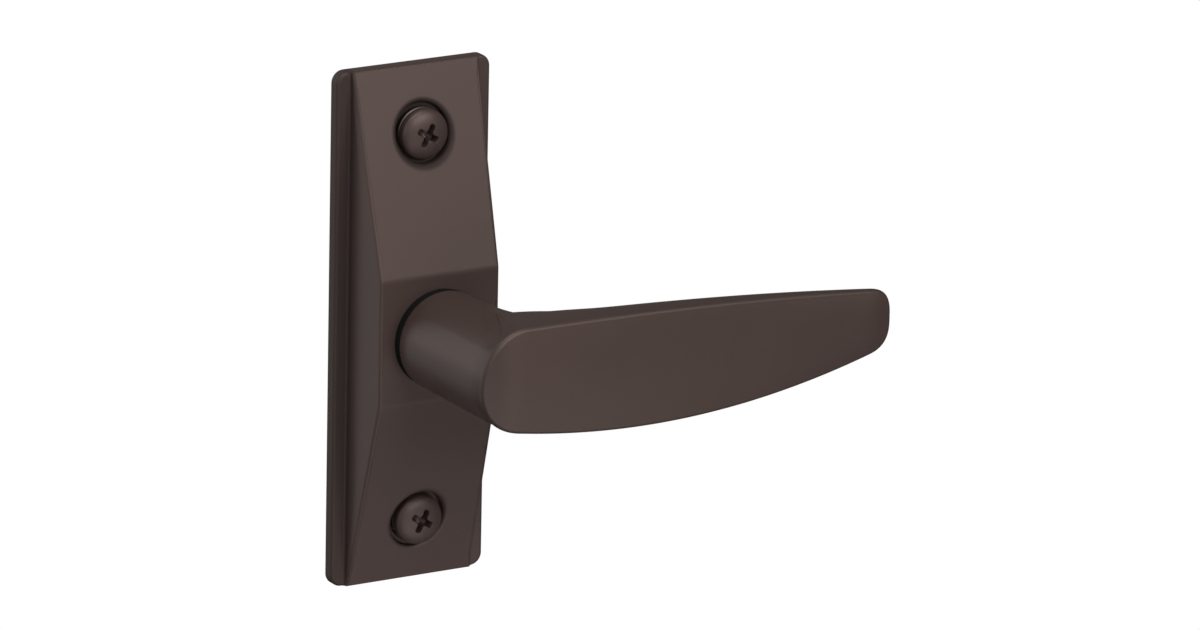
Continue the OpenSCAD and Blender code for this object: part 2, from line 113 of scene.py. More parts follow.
def grid_quads(rows, cols, wrap):
    """Quads of a grid of rows by cols points; with wrap the last column meets the first."""
    last = cols if wrap else cols - 1
    r, c = np.meshgrid(np.arange(rows - 1), np.arange(last), indexing="ij")
    d = (c + 1) % cols
    quads = [r * cols + c, r * cols + d, (r + 1) * cols + d, (r + 1) * cols + c]
    return np.stack(quads, -1).reshape(-1, 4)


def add_piece(name, grids, body, stands_for, sharp=38.0):
    """One object from several grids, each (points rows x cols x 3, wrap, flip).

    It rides on a body and replaces the CAD nodes that it stands for. Edges
    sharper than the angle sharp, in degrees, are shaded as creases.
    """
    verts, quads, start = [], [], 0
    for points, wrap, flip in grids:
        rows, cols = points.shape[:2]
        faces = grid_quads(rows, cols, wrap) + start
        quads.append(faces[:, ::-1] if flip else faces)
        verts.append(place(points).reshape(-1, 3))
        start += rows * cols
    verts, quads = np.concatenate(verts), np.concatenate(quads)
    mesh = bpy.data.meshes.new(name)
    mesh.vertices.add(len(verts))
    mesh.vertices.foreach_set("co", verts.ravel())
    mesh.loops.add(quads.size)
    mesh.loops.foreach_set("vertex_index", quads.ravel())
    mesh.polygons.add(len(quads))
    mesh.polygons.foreach_set("loop_start", np.arange(0, quads.size, 4))
    mesh.update(calc_edges=True)
    mesh.validate()
    merge_points(mesh)
    mesh.shade_smooth()
    mesh.set_sharp_from_angle(angle=math.radians(sharp))
    obj = link_object(name, mesh)
    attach(obj, body)
    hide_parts(*stands_for)
    return obj


def merge_points(mesh):
    """Merges points that coincide, such as the poles and seams of a grid."""
    bm = bmesh.new()
    bm.from_mesh(mesh)
    bmesh.ops.remove_doubles(bm, verts=bm.verts, dist=MERGE_M)
    bmesh.ops.dissolve_degenerate(bm, edges=bm.edges, dist=MERGE_M)
    bm.to_mesh(mesh)
    bm.free()


def polar(radius, angle, h):
    """Points at a radius and angle round the local h axis."""
    radius, angle, h = np.broadcast_arrays(radius, angle, h)
    return np.stack([radius * np.cos(angle), radius * np.sin(angle), h], -1)


def smooth(t):
    """0 up to t = 0 and 1 from t = 1, with a cubic that starts and ends level between them."""
    c = np.clip(t, 0, 1)
    return c * c * (3 - 2 * c)


def arc(n):
    """n + 1 angles from 0 to 90 degrees, in radians."""
    return np.linspace(0, QUARTER, n + 1)


def quarter_circle(radius, n):
    """n + 1 pairs round a quarter circle: radius (1 - sin t) and radius (1 - cos t)."""
    return [(radius * (1 - math.sin(t)), radius * (1 - math.cos(t))) for t in arc(n)]


def around(n):
    """n angles round a full turn, in radians."""
    return np.arange(n) * TURN / n


def raised(points, y):
    """The points moved up the plate by y."""
    return points + np.array([0.0, y, 0.0])


# Lever


class LeverSizes(bpy.types.PropertyGroup):
    reach: length("Reach", "From the turning axis to the tip", 99.0)
    heel: length("Heel", "From the turning axis to the heel", 12.4)
    top: length("Top", "Height of the top edge above the axis", 13.8)
    belly: length("Belly", "Depth of the bottom edge below the axis", 14.6)
    front_h: length("Front", "Height of the front edge above the door", 59.6)
    crown: length("Crown", "Bulge of the front face", 0.78)
    neck_r: length("Neck radius", "Radius of the round neck at its foot", 12.1)
    neck_top_r: length("Neck top radius", "Radius of the neck where it sweeps into the blade", 12.5)
    edge_r: length("Front edge", "Rounding of the front edge", 1.1)
    steps: IntProperty(name="Steps", description="Points along the edge of the blade", default=90, min=20)


# Tip: length of its rounding, and the power of its curve, where 1 would be an ellipse
TIP_ROUND = 6.2
TIP_POWER = 0.66
# Degrees round the neck that the tip's columns take
TIP_NECK_ANGLE = 12.0
# Power that brings the columns closer together towards the axis
COL_SPACING = 1.25
# Bottom edge: where it is lowest, and its rise in mm per square mm from there
BELLY_X = 32.0
BELLY_CURVE = 0.0024
# Top edge: where it starts to drop, the length in which it drops 1 mm, and the power
TOP_DROP = (5.0, 54.8, 2.35)
# Slope of both edges behind the axis, and the length in which they take it up
HEEL_TILT = 0.06
HEEL_BLEND = 4.0
# Thickness at the tip, and what each mm towards the neck adds
TIP_T = 1.1
TAPER = 0.108
# Extra thickness at the neck, its length along the blade and the power of its fading
ROOT = (2.3, 19.0, 4.0)
# Thickness at the heel, and the length behind the axis in which it is reached
HEEL_T = 1.7
HEEL_THIN = 4.0
# Back edge: least radius, and its shares of the thickness and of the room beside the neck
BACK_R = (0.2, 0.25, 0.6)
# Sweep out of the neck: share of the gap, most reach, least depth, and depth per mm of reach
SWEEP = (0.8, 10.0, 7.0, 0.85)
# Ledge round the neck: least width, what the heel adds, where that starts and its length
LEDGE = (0.1, 0.6, 7.0, 4.0)
# Flush flare: its start behind the axis, fade-in, end in front of it, and share of the gap
FLUSH = (9.0, 4.0, 1.5, 0.92)
# Middle line of the face: its ends, and how far it follows the outline's x beyond them
MEDIAL = (3.0, 88.0, 0.15)
# Crown: power of its curve, and the power that brings its rows closer together at the rim
CROWN_POWER = 2.4
CROWN_SPACING = 1.3
# Rounding of the neck's foot, and the inner radius of its underside
NECK_ROUND = 0.4
NECK_INNER = 7.5


def heel_shift(x):
    """Tilt of the outline behind the axis: a line that starts level at the axis."""
    return HEEL_TILT * x * (1 - np.exp(np.minimum(x, 0) / HEEL_BLEND))


def bottom_edge(s, x):
    """Parabola along the blade; behind the axis it flattens and tilts."""
    along = -s.belly + BELLY_CURVE * (x - BELLY_X) ** 2
    start = -s.belly + BELLY_CURVE * BELLY_X**2
    back = start - 2 * BELLY_CURVE * BELLY_X * x * np.exp(np.minimum(x, 0) / HEEL_BLEND)
    return np.where(x >= 0, along, back + heel_shift(x))


def top_edge(s, x):
    """Straight over the neck, then dropping by a power of the distance."""
    x0, scale, power = TOP_DROP
    along = s.top - (np.maximum(0, x - x0) / scale) ** power
    return np.where(x >= 0, along, s.top + heel_shift(x))


def blade_t(s, x):
    """Thickness: a straight taper plus a bulge that fades away from the neck.

    Behind the axis it falls to the heel's thickness by a bell curve.
    """
    extra, fade, power = ROOT
    root = TIP_T + TAPER * s.reach + extra
    bulge = extra * np.exp(-((np.maximum(x, 0) / fade) ** power))
    back = HEEL_T + (root - HEEL_T) * np.exp(-((np.minimum(x, 0) / HEEL_THIN) ** 2))
    return np.where(x < 0, back, TIP_T + TAPER * (s.reach - x) + bulge)


def flush(x):
    """1 where the neck runs flush into the side of the blade, 0 where it meets the back."""
    begin, fade, end, _ = FLUSH
    return smooth((x + begin) / fade) * smooth((end - x) / end)


def blade_grid(s):
    """The neck and blade as one grid.

    A column runs up the neck wall, through the concave sweep into the blade's back, round
    the back edge, up the side, round the front edge and over the crowned face to the
    middle line. The columns go round the outline: tip, top edge, heel and back below.
    """
    n_tip, n_heel = s.steps // 3, s.steps // 2
    u = np.linspace(0, 1, n_tip + 1)
    v = np.linspace(0, 1, s.steps + 1)[1:]
    w = np.linspace(0, 1, n_heel + 1)[1:]
    tip_x = s.reach - TIP_ROUND
    a, b = u * QUARTER, w * QUARTER
    x = np.concatenate(
        [
            tip_x + TIP_ROUND * np.clip(np.cos(a), 0, 1) ** TIP_POWER,
            tip_x * (1 - v) ** COL_SPACING,
            -s.heel * np.sin(b),
        ]
    )
    f = np.concatenate([np.sin(a) ** TIP_POWER, np.ones_like(v), np.clip(np.cos(b), 0, 1)])
    along = TIP_NECK_ANGLE + (90 - TIP_NECK_ANGLE) * v
    turn = np.radians(np.concatenate([TIP_NECK_ANGLE * u, along, 90 + 90 * w]))
    side = np.concatenate([np.ones(len(x)), -np.ones(len(x) - 2)])
    x, f, turn = (np.concatenate([q, q[-2:0:-1]]) for q in (x, f, turn))
    mid = lambda q: (top_edge(s, q) + bottom_edge(s, q)) / 2
    half = (top_edge(s, x) - bottom_edge(s, x)) / 2
    edge = np.stack([x, mid(x) + side * half * f], -1)
    m0, m1, shrink = MEDIAL
    within = np.clip(x, m0, m1)
    mx = within + (x - within) * shrink
    medial = np.stack([mx, mid(mx)], -1)
    inward = (medial - edge) / np.linalg.norm(medial - edge, axis=-1, keepdims=True)
    inset = lambda d: edge + inward * np.reshape(d, (-1, 1))
    spoke = np.stack([np.cos(turn), side * np.sin(turn)], -1)
    least, share, room = BACK_R
    from_axis = np.linalg.norm(edge, axis=-1)
    thin, more, begin, span = LEDGE
    neck_r = np.minimum(s.neck_top_r, from_axis - thin - more * smooth((-x - begin) / span))
    near = room * (from_axis - neck_r) * (1 - flush(x))
    back_r = np.maximum(least, np.minimum(share * blade_t(s, x), near))
    back_h = lambda q: s.front_h - blade_t(s, q)

    rows = []
    put = lambda xy, h: rows.append(np.column_stack([xy, np.broadcast_to(h, len(x))]))
    put(spoke * NECK_INNER, HUB_H)
    for left, gone in quarter_circle(NECK_ROUND, 4):
        put(spoke * (s.neck_r - left), HUB_H + gone)
    foot = HUB_H + NECK_ROUND
    neck = spoke * neck_r[:, None]
    outer = inset(back_r)
    gap = outer - neck
    width = np.linalg.norm(gap, axis=-1)
    share, most, rise, slope = SWEEP
    reach = np.minimum(share * width, most)
    drop = rise + slope * reach
    w, per_radian = flush(x), 2 / math.pi

    def sweep(angle):
        """Point of the sweep: a quarter ellipse that mixes into a flare where it runs flush."""
        t = angle * per_radian
        out = (1 - w) * reach * (1 - math.cos(angle)) / width + w * FLUSH[3] * smooth(t)
        p = neck + gap * out[:, None]
        return p, back_h(p[:, 0]) - drop * ((1 - w) * (1 - math.sin(angle)) + w * (1 - t))

    start = sweep(0.0)[1]
    for t in np.linspace(0, 1, 9)[1:-1]:
        put(spoke * (s.neck_r + (neck_r - s.neck_r) * t)[:, None], foot + (start - foot) * t)
    for t in arc(18):
        put(*sweep(t))
    flat = sweep(QUARTER)[0]
    for t in np.linspace(0, 1, 9)[1:]:
        p = flat + (outer - flat) * t
        put(p, back_h(p[:, 0]))
    edge_h = back_h(x)
    for left, gone in quarter_circle(back_r, 6)[1:]:
        put(inset(left), edge_h + gone)
    low, high = edge_h + back_r, s.front_h - s.edge_r
    for t in (0.25, 0.5, 0.75):
        put(edge, low + (high - low) * t)
    for left, gone in quarter_circle(s.edge_r, 8):
        put(inset(np.full(len(x), gone)), s.front_h - left)
    rim = inset(np.full(len(x), s.edge_r))
    for t in np.linspace(0, 1, 13)[1:] ** CROWN_SPACING:
        put(rim + (medial - rim) * t, s.front_h + s.crown * (1 - (1 - t) ** CROWN_POWER))
    return np.stack(rows)


# Journal: radius, width across its two flats, height of its end, bevel of that end, height
# where the flats stop, and the ring's groove from one height to another with its radius
SHANK_R = 8.0
SHANK_FLATS = 13.2
SHANK_END = 2.6
SHANK_EDGE = 0.3
FLATS_TO = 6.2
GROOVE = (3.15, 4.2, 7.2)
# Width of the square socket for the drive spindle, and the height of its floor
SOCKET = (8.1, 14.0)


def shank_grid():
    """The socket, the journal and its keyed end, as closed curves one above the other.

    The radius of the keyed end is the least of the circle and the flats, r = flat / cos, and
    the socket's is the least of its four sides.
    """
    n = 192
    theta = around(n)
    cos, sin = np.abs(np.cos(theta)), np.abs(np.sin(theta))
    keyed = np.minimum(SHANK_R, SHANK_FLATS / 2 / np.maximum(cos, TINY))
    square = SOCKET[0] / 2 / np.maximum(cos, sin)
    g0, g1, gr = GROOVE
    cut = np.minimum(keyed, gr)
    rows = [
        (square * 0, SOCKET[1]),
        (square, SOCKET[1]),
        (square, SHANK_END),
        (keyed - SHANK_EDGE, SHANK_END),
        (keyed, SHANK_END + SHANK_EDGE),
        (keyed, g0),
        (cut, g0),
        (cut, g1),
        (keyed, g1),
        (keyed, FLATS_TO),
        (np.full(n, SHANK_R), FLATS_TO),
        (np.full(n, SHANK_R), HUB_H + 0.5),
    ]
    return np.stack([polar(r, theta, np.full(n, h)) for r, h in rows])


class BuildLever(bpy.types.Operator):
    """Builds the lever: a round neck that sweeps into a flat paddle blade, and its shank"""

    bl_idname = "trim.lever"
    bl_label = "Lever"

    def execute(self, context):
        blade = blade_grid(context.scene.trim_lever)
        grids = [(blade, True, False), (shank_grid(), True, False)]
        piece = add_piece("lever_casting", grids, "lever_set", ("lever",), 50.0)
        paint(piece, lever_bronze(context.scene.trim_finish))
        return {"FINISHED"}


# Escutcheon


class PlateSizes(bpy.types.PropertyGroup):
    flange_t: length("Flange", "Thickness of the flange", 3.0)
    corner_r: length("Corners", "Corner radius of the flange", 3.0)
    edge_r: length("Flange edge", "Rounding of the flange's front edge", 0.8)
    foot_half: length("Foot", "Half width of the raised body at the flange", 17.0)
    ridge_half: length("Ridge", "Half width of the raised body at the flat", 16.1)
    ridge_r: length("Ridge radius", "Rounding of the ridges", 0.9)
    valley_r: length("Valley", "Radius of the hollow at the foot of the body", 0.5)
    end_h: length("End height", "Height of the body at the plate's ends", 3.7)
    flat_half: length("Flat", "Half length of the flat in the middle", 15.35)
    rim_r: length("Bore rim", "Rounding of the counterbore rims", 1.1)
    bore_r: length("Counterbore", "Radius of the counterbores", 7.1)


# Half width of the soft crease between the flat and a slope
CREASE = 0.7
# Counterbores: height of the floor, the rounding at its edge, and the screw hole's radius
# and lower end
SEAT_H = 5.2
SEAT_ROUND = 0.3
HOLE_R = 3.4
HOLE_END = 0.8
# Hollow back: half width, half length and the thickness of its ceiling
CAVITY = (14.3, 60.0, 2.6)
# Its mouth: corner radius, height of the wall behind its edge, and where the hollow starts
MOUTH_R = 1.0
MOUTH_WALL = 2.0
MOUTH_H = 0.5
# Distance of the extra row that keeps a flat face flat beside a rounding
SUPPORT = 0.12
# The body's end faces stand this far inside the flange's ends
END_INSET = 0.15
BODY_END = PLATE_HALF_Y - END_INSET
# Stations along the last millimetres of the body, counted back from its end
END_STATIONS = (2.2, 1.4, 0.8, 0.4, 0.15, 0)
# The valley starts this little above the flange, so that the two faces don't coincide
LIFT = 0.002
# Most of the wall's height that ridge and valley may each take
ROUND_SHARE = 0.45
# Flange: bevel of its back edge, place of a row in from its front edge, least corner radius
BACK_EDGE = 0.2
FLANGE_ROW = 1.2
LEAST_CORNER = 0.6
# How far its face runs in under the body's sides and from the plate's ends, and the corner
UNDER_BODY = (1, 3, 0.5)
# Bore of the collar: radius and the height of its floor
COLLAR_BORE = (9.9, 7.6)
# Points round each bore
BORE_POINTS = 160


def rounded_loop(half_x, half_y, radius, n=10):
    """Points anticlockwise round a rectangle with rounded corners, n at each corner."""
    a = np.linspace(0, QUARTER, n)
    corners = []
    for k, (sx, sy) in enumerate(((1, 1), (-1, 1), (-1, -1), (1, -1))):
        t = a + k * QUARTER
        cx, cy = sx * (half_x - radius), sy * (half_y - radius)
        corners.append(np.stack([cx + radius * np.cos(t), cy + radius * np.sin(t)], -1))
    return np.concatenate(corners)


def flange_grid(s):
    """Loops from the cavity's mouth over the flange's back, up its side and over its front."""
    rows = []

    def put(half_x, half_y, radius, h):
        loop = rounded_loop(half_x, half_y, radius)
        rows.append(np.column_stack([loop, np.full(len(loop), h)]))

    def inset(d, radius, h):
        put(PLATE_HALF_X - d, PLATE_HALF_Y - d, radius, h)

    for h in (MOUTH_WALL, 0.0):
        put(*CAVITY[:2], MOUTH_R, h)
    inset(BACK_EDGE, s.corner_r - BACK_EDGE, 0.0)
    for h in (BACK_EDGE, (s.flange_t - s.edge_r) / 2, s.flange_t - s.edge_r - SUPPORT):
        inset(0, s.corner_r, h)
    for left, gone in quarter_circle(s.edge_r, 8):
        inset(gone, s.corner_r - gone, s.flange_t - left)
    for d in (s.edge_r + SUPPORT, s.edge_r + FLANGE_ROW):
        inset(d, max(s.corner_r - d, LEAST_CORNER), s.flange_t)
    from_side, from_end, radius = UNDER_BODY
    put(s.foot_half - from_side, PLATE_HALF_Y - from_end, radius, s.flange_t)
    return np.stack(rows)


def body_line(s):
    """Fall of the body's top per mm along it, and lean of its wall per mm of height."""
    slope = (PLATE_TOP - s.end_h) / (PLATE_HALF_Y - s.flat_half)
    draft = (s.foot_half - s.ridge_half) / (PLATE_TOP - s.flange_t)
    return slope, draft


def top_h(s, y):
    """Height of the body's top: the lower of the flat and the slope, with a soft crease."""
    slope, _ = body_line(s)
    over = np.abs(y) - s.flat_half
    crease = (over + CREASE) ** 2 / (4 * CREASE)
    ramp = np.where(over < -CREASE, 0, np.where(over > CREASE, over, crease))
    return PLATE_TOP - slope * ramp


def ridge_in(s, y):
    """Half width at which the ridge's rounding meets the top, its radius and its height."""
    _, draft = body_line(s)
    h = top_h(s, y)
    r = np.minimum(s.ridge_r, ROUND_SHARE * (h - s.flange_t))
    return s.foot_half - draft * (h - s.flange_t) - r * (1 - draft), r, h


def side_grid(s, sign):
    """Valley, drafted wall and rounded ridge along one side of the body.

    Rows: a quarter circle up out of the flange, the wall, and a quarter circle over the
    ridge. Columns: stations along the plate, close together at the creases and the ends.
    """
    crease = s.flat_half + np.linspace(-CREASE, CREASE, 9)
    along = np.linspace(s.flat_half + 4, BODY_END - 3, 12)
    half = np.concatenate([[0], crease, along, BODY_END - np.array(END_STATIONS)])
    y = np.concatenate([-half[:0:-1], half])
    inner, r, h = ridge_in(s, y)
    _, draft = body_line(s)
    rise = h - s.flange_t
    v = np.minimum(s.valley_r, ROUND_SHARE * rise)
    rows = []
    put = lambda x, hh: rows.append(np.stack([sign * x, y, np.broadcast_to(hh, len(y))], -1))
    put(s.foot_half + v + SUPPORT, s.flange_t + LIFT)
    for left, gone in quarter_circle(v, 7):
        put(s.foot_half + left - draft * gone, s.flange_t + LIFT + gone)
    low, high = s.flange_t + v, h - r
    for t in (0.05, 0.5, 0.95):
        hh = low + (high - low) * t
        put(s.foot_half - draft * (hh - s.flange_t), hh)
    for left, gone in quarter_circle(r, 8):
        put(inner + (1 - draft) * (r - gone), h - left)
    put(inner - SUPPORT, h)
    return np.stack(rows)


def strip_grid(s, y0, y1, n):
    """A strip of the body's top between the two ridges, n rows along the plate."""
    y = np.linspace(y0, y1, n)
    inner, _, h = ridge_in(s, y)
    x = np.array([-1.0, 1.0])[:, None] * (inner - SUPPORT)[None, :]
    return np.stack([x, np.broadcast_to(y, x.shape), np.broadcast_to(h, x.shape)], -1)


def holed_grid(s, cy, radius, y0, y1):
    """A flat part of the top round a bore: rows run from the bore's rim out to the border.

    The border is met along each ray from the bore's centre: the nearest of the two end
    lines and of the two ridges, which are straight.
    """
    corners = []
    for y in (y0, y1):
        inner = float(ridge_in(s, np.array(y))[0]) - SUPPORT
        corners += [(inner, y - cy), (-inner, y - cy)]
    exact = np.arctan2([c[1] for c in corners], [c[0] for c in corners]) % TURN
    theta = np.sort(np.concatenate([around(BORE_POINTS), exact]))
    cos, sin = np.cos(theta), np.sin(theta)
    i0, i1 = corners[0][0], corners[2][0]
    k = (i1 - i0) / (y1 - y0)

    def along_ray(distance, speed):
        """How far a ray runs before it has covered the distance at this speed."""
        meets = speed > TINY
        return np.where(meets, distance / np.where(meets, speed, 1), FAR)

    ends = np.minimum(along_ray(y1 - cy, sin), along_ray(cy - y0, -sin))
    sides = along_ray(i0 + k * (cy - y0), np.abs(cos) - k * sin)
    far = np.minimum(ends, sides)
    t = np.array([0, 0.02, 0.3, 1.0])[:, None]
    r = radius + (far - radius)[None, :] * t
    x, y = r * cos, cy + r * sin
    return np.stack([x, y, top_h(s, y)], -1)


def bore_grid(s, cy):
    """Counterbore: circles down a rounded rim that follows the slope, the wall and the floor."""
    theta = around(BORE_POINTS)
    rows = []

    def put(r, drop=None, h=None):
        """A circle at a depth under the body's top or, if h is given, at that height."""
        p = raised(polar(np.full(BORE_POINTS, r), theta, 0.0), cy)
        p[:, 2] = top_h(s, p[:, 1]) - drop if h is None else h
        rows.append(p)

    put(s.bore_r + s.rim_r + SUPPORT, 0.0)
    for left, gone in quarter_circle(s.rim_r, 8):
        put(s.bore_r + left, gone)
    wall = rows[-1][:, 2]
    for t in (0.3, 0.7, 1.0):
        put(s.bore_r, h=wall + (SEAT_H + SEAT_ROUND - wall) * t)
    for left, gone in quarter_circle(SEAT_ROUND, 4)[1:]:
        put(s.bore_r - gone, h=SEAT_H + left)
    for h in (SEAT_H, HOLE_END):
        put(HOLE_R, h=h)
    return np.stack(rows)


def end_grid(s, sign):
    """End face of the body: the outline of its top edge, carried down into the flange."""
    inner, r, h = (float(q) for q in ridge_in(s, np.array(BODY_END)))
    _, draft = body_line(s)
    out = np.append(inner + r * (1 - draft) * np.cos(arc(8)), inner - SUPPORT)
    high = np.append(h - r * (1 - np.sin(arc(8))), h)
    x = np.concatenate([-out, out[::-1]])
    top = np.concatenate([high, high[::-1]])
    y = np.full_like(x, sign * BODY_END)
    low = np.full_like(x, s.flange_t - s.edge_r)
    return np.stack([np.stack([x, y, h], -1) for h in (top, low)])


def cavity_grid(s):
    """The hollow back: its walls and, a wall's thickness below the top, its ceiling."""
    cx, cy, wall = CAVITY
    y = np.array([-cy, -s.flat_half, s.flat_half, cy])
    mouth = np.full(4, MOUTH_H)
    ceiling = np.maximum(top_h(s, y) - wall, MOUTH_H)
    section = ((-cx, mouth), (-cx, ceiling), (cx, ceiling), (cx, mouth))
    return np.stack([np.stack([np.full(4, x), y, h], -1) for x, h in section])


class BuildPlate(bpy.types.Operator):
    """Builds the escutcheon: flange, faceted body with a flat and two slopes, and its bores"""

    bl_idname = "trim.plate"
    bl_label = "Escutcheon"

    def execute(self, context):
        s = context.scene.trim_plate
        f0, f1 = s.flat_half - CREASE, s.flat_half + CREASE
        rim = s.bore_r + s.rim_r + SUPPORT
        collar_r, floor_h = COLLAR_BORE
        collar_bore = polar(collar_r, around(128), np.array([[PLATE_TOP], [floor_h]]))
        grids = [
            (flange_grid(s), True, False),
            (side_grid(s, 1), False, True),
            (side_grid(s, -1), False, False),
            (strip_grid(s, f0, f1, 9), False, True),
            (strip_grid(s, -f1, -f0, 9), False, True),
            (holed_grid(s, 0.0, collar_r, -f0, f0), True, True),
            (holed_grid(s, SCREW_Y, rim, f1, BODY_END), True, True),
            (holed_grid(s, -SCREW_Y, rim, -BODY_END, -f1), True, True),
            (bore_grid(s, SCREW_Y), True, False),
            (bore_grid(s, -SCREW_Y), True, False),
            (end_grid(s, 1), False, False),
            (end_grid(s, -1), False, True),
            (cavity_grid(s), False, False),
            (collar_bore, True, False),
        ]
        name = "escutcheon_casting"
        piece = add_piece(name, grids, "trim", ("escutcheon",), 40.0)
        paint(piece, plate_bronze(context.scene.trim_finish))
        return {"FINISHED"}


# Mounting screws and lock washers


class FixingSizes(bpy.types.PropertyGroup):
    thread_pitch: FloatProperty(
        name="Pitch", description="Pitch of the screw threads, in mm", default=1.27, min=0.5
    )
    side_h: length("Head side", "Straight side of the pan head", 1.6)
    dome_drop: length("Dome drop", "How far the dome stays under the solid head's top", 0.6)
    cross_half: length("Cross", "Half length of the cross recess", 3.0)
    cross_turn: FloatProperty(
        name="Cross turn",
        description="Turn of the cross recess",
        default=math.radians(-28),
        subtype="ANGLE",
    )
    split_turn: FloatProperty(
        name="Split turn",
        description="Turn of the lock washer's split",
        default=math.radians(205),
        subtype="ANGLE",
    )


# Cross recess: its depth, the point of its floor, the angle over which a wing fades, the
# radius of its core, and the rounding of its rim
RECESS_DEPTH = 2.5
RECESS_POINT = 0.5
WING_SPREAD = 0.41
CORE_R = 1.4
RECESS_EDGE = 0.12
# What the cross's half length, its spread and its core lose per mm of depth
RECESS_DRAFT = (0.25, 0.01, 0.15)
# Power of the dome: 2 would be an ellipse, more is flatter on top
DOME_POWER = 2.5
# Bevel under the head, radius and height of the cone below it, and the neck's radius
HEAD_EDGE = 0.25
CONE_R = 3.1
CONE_H = 0.35
NECK_R = 2.75
# Thread: outer and root radius, its top end, the length over which it grows in, its end above
# the tip, the gain and offset that flatten its crests and roots, and the bevel of the tip
THREAD_R = 3.175
THREAD_ROOT = 2.55
THREAD_TOP = -0.2
THREAD_IN = 1.2
THREAD_STOP = 0.8
TOOTH = (3.2, 0.3)
TIP_BEVEL = 0.7


def star(theta, reach, spread, core):
    """Polar radius of a cross: a round core and four wings with round ends and filleted roots.

    A wing is core + (reach - core) exp(-(angle from its middle / spread) ^ 4).
    """
    phi = (theta + math.pi / 4) % QUARTER - math.pi / 4
    return core + (reach - core) * np.exp(-((phi / spread) ** 4))


def screw_grid(f, y):
    """Pan-head screw, top to tip: recess, dome, side, underside, neck and helical thread.

    Each row is a closed curve r(theta). The dome's height is (1 - (r / head radius) ^ power)
    ^ 0.5, and a tooth of the thread follows the phase height / pitch + turn. The recess's
    rows are level below 1 mm and follow the dome above.
    """
    n = 256
    theta = around(n)
    under, top = WASHER_HI[1], SCREW_HI[1] - f.dome_drop
    side_top = under + f.side_h
    r_head = (SCREW_HI[0] - SCREW_LO[0]) / 2
    rows = []
    put = lambda r, h: rows.append(polar(r, theta + f.cross_turn, h * np.ones(n)))

    def dome(r):
        share = (np.clip(r, 0, r_head) / r_head) ** DOME_POWER
        return side_top + (top - side_top) * np.sqrt(np.clip(1 - share, 0, 1))

    rim = star(theta, f.cross_half, WING_SPREAD, CORE_R)
    put(np.full(n, 0.01), top - RECESS_DEPTH - RECESS_POINT)
    cross = np.array([f.cross_half, WING_SPREAD, CORE_R])
    for d in (RECESS_DEPTH, RECESS_DEPTH * 0.66, RECESS_DEPTH * 0.33, 0.15):
        r = star(theta, *(cross - np.array(RECESS_DRAFT) * d))
        put(r, top - d if d > 1 else dome(rim) - d)
    for left, gone in quarter_circle(RECESS_EDGE, 4):
        put(rim + gone, dome(rim + gone) - left)
    base = rim + RECESS_EDGE
    for t in np.sin(np.linspace(0, QUARTER, 26))[1:-1]:
        r = base + (r_head - base) * t
        put(r, dome(r))
    profile = (
        (r_head, side_top),
        (r_head, under + HEAD_EDGE),
        (r_head - HEAD_EDGE, under),
        (CONE_R, under),
        (NECK_R, under - CONE_H),
        (NECK_R, 0.0),
    )
    for r, h in profile:
        put(np.full(n, r), h)
    tip = SCREW_LO[1]
    gain, offset = TOOTH
    for h in np.arange(THREAD_TOP, tip + THREAD_STOP, -f.thread_pitch / 8):
        phase = (h / f.thread_pitch + theta / TURN) % 1.0
        tooth = np.clip(np.abs(phase - 0.5) * gain - offset, 0, 1)
        grown = min(1.0, (THREAD_TOP - h) / THREAD_IN)
        put(THREAD_ROOT + (THREAD_R - THREAD_ROOT) * tooth * grown, h)
    for r, h in ((THREAD_ROOT, tip + TIP_BEVEL), (THREAD_ROOT - TIP_BEVEL, tip), (0.0, tip)):
        put(np.full(n, r), h)
    return raised(np.stack(rows), y)


# Washer: inner radius, the bevel of its edges, half of the split's angle in radians, and the
# turn per mm of height that slants the split
WASHER_IN = 3.4
WASHER_EDGE = 0.18
SPLIT_HALF = 0.09
SPLIT_SLANT = 0.09


def washer_grid(f, y):
    """Split spring washer: a square section carried round one turn, cut on the slant.

    The first grid is the bevelled section swept through 121 angles that shift with the
    height. The other two close its ends, as fans from the middle of the section.
    """
    lo, hi, e = WASHER_LO[1], WASHER_HI[1], WASHER_EDGE
    r0, r1 = WASHER_IN, (WASHER_HI[0] - WASHER_LO[0]) / 2
    under = [(r0, lo + e), (r0 + e, lo), (r1 - e, lo), (r1, lo + e)]
    over = [(r1, hi - e), (r1 - e, hi), (r0 + e, hi), (r0, hi - e)]
    middle = ((r0 + r1) / 2, (lo + hi) / 2)
    sweep = f.split_turn + SPLIT_HALF + (TURN - 2 * SPLIT_HALF) * np.linspace(0, 1, 121)
    rings = np.stack(
        [
            polar(np.full(121, r), sweep + (h - middle[1]) * SPLIT_SLANT, h)
            for r, h in under + over + under[:1] + [middle]
        ]
    )
    body, centre = rings[:-1], rings[-1]
    fans = [np.stack([np.broadcast_to(centre[k], body[:, k].shape), body[:, k]]) for k in (0, -1)]
    return [raised(grid, y) for grid in (body, *fans)]


class BuildFixings(bpy.types.Operator):
    """Builds the two pan-head mounting screws and their split lock washers"""

    bl_idname = "trim.fixings"
    bl_label = "Screws and washers"

    def execute(self, context):
        f = context.scene.trim_fixings
        dark = screw_finish(context.scene.trim_finish)
        steel = washer_finish()
        for end, y in (("upper", SCREW_Y), ("lower", -SCREW_Y)):
            grids = [(screw_grid(f, y), True, True)]
            node = f"mounting_screw_{end}"
            paint(add_piece(f"pan_screw_{end}", grids, "trim", (node,)), dark)
            body, first, last = washer_grid(f, y)
            grids = [(body, False, True), (first, False, False), (last, False, True)]
            node = f"lock_washer_{end}"
            paint(add_piece(f"spring_washer_{end}", grids, "trim", (node,)), steel)
        return {"FINISHED"}


# Materials


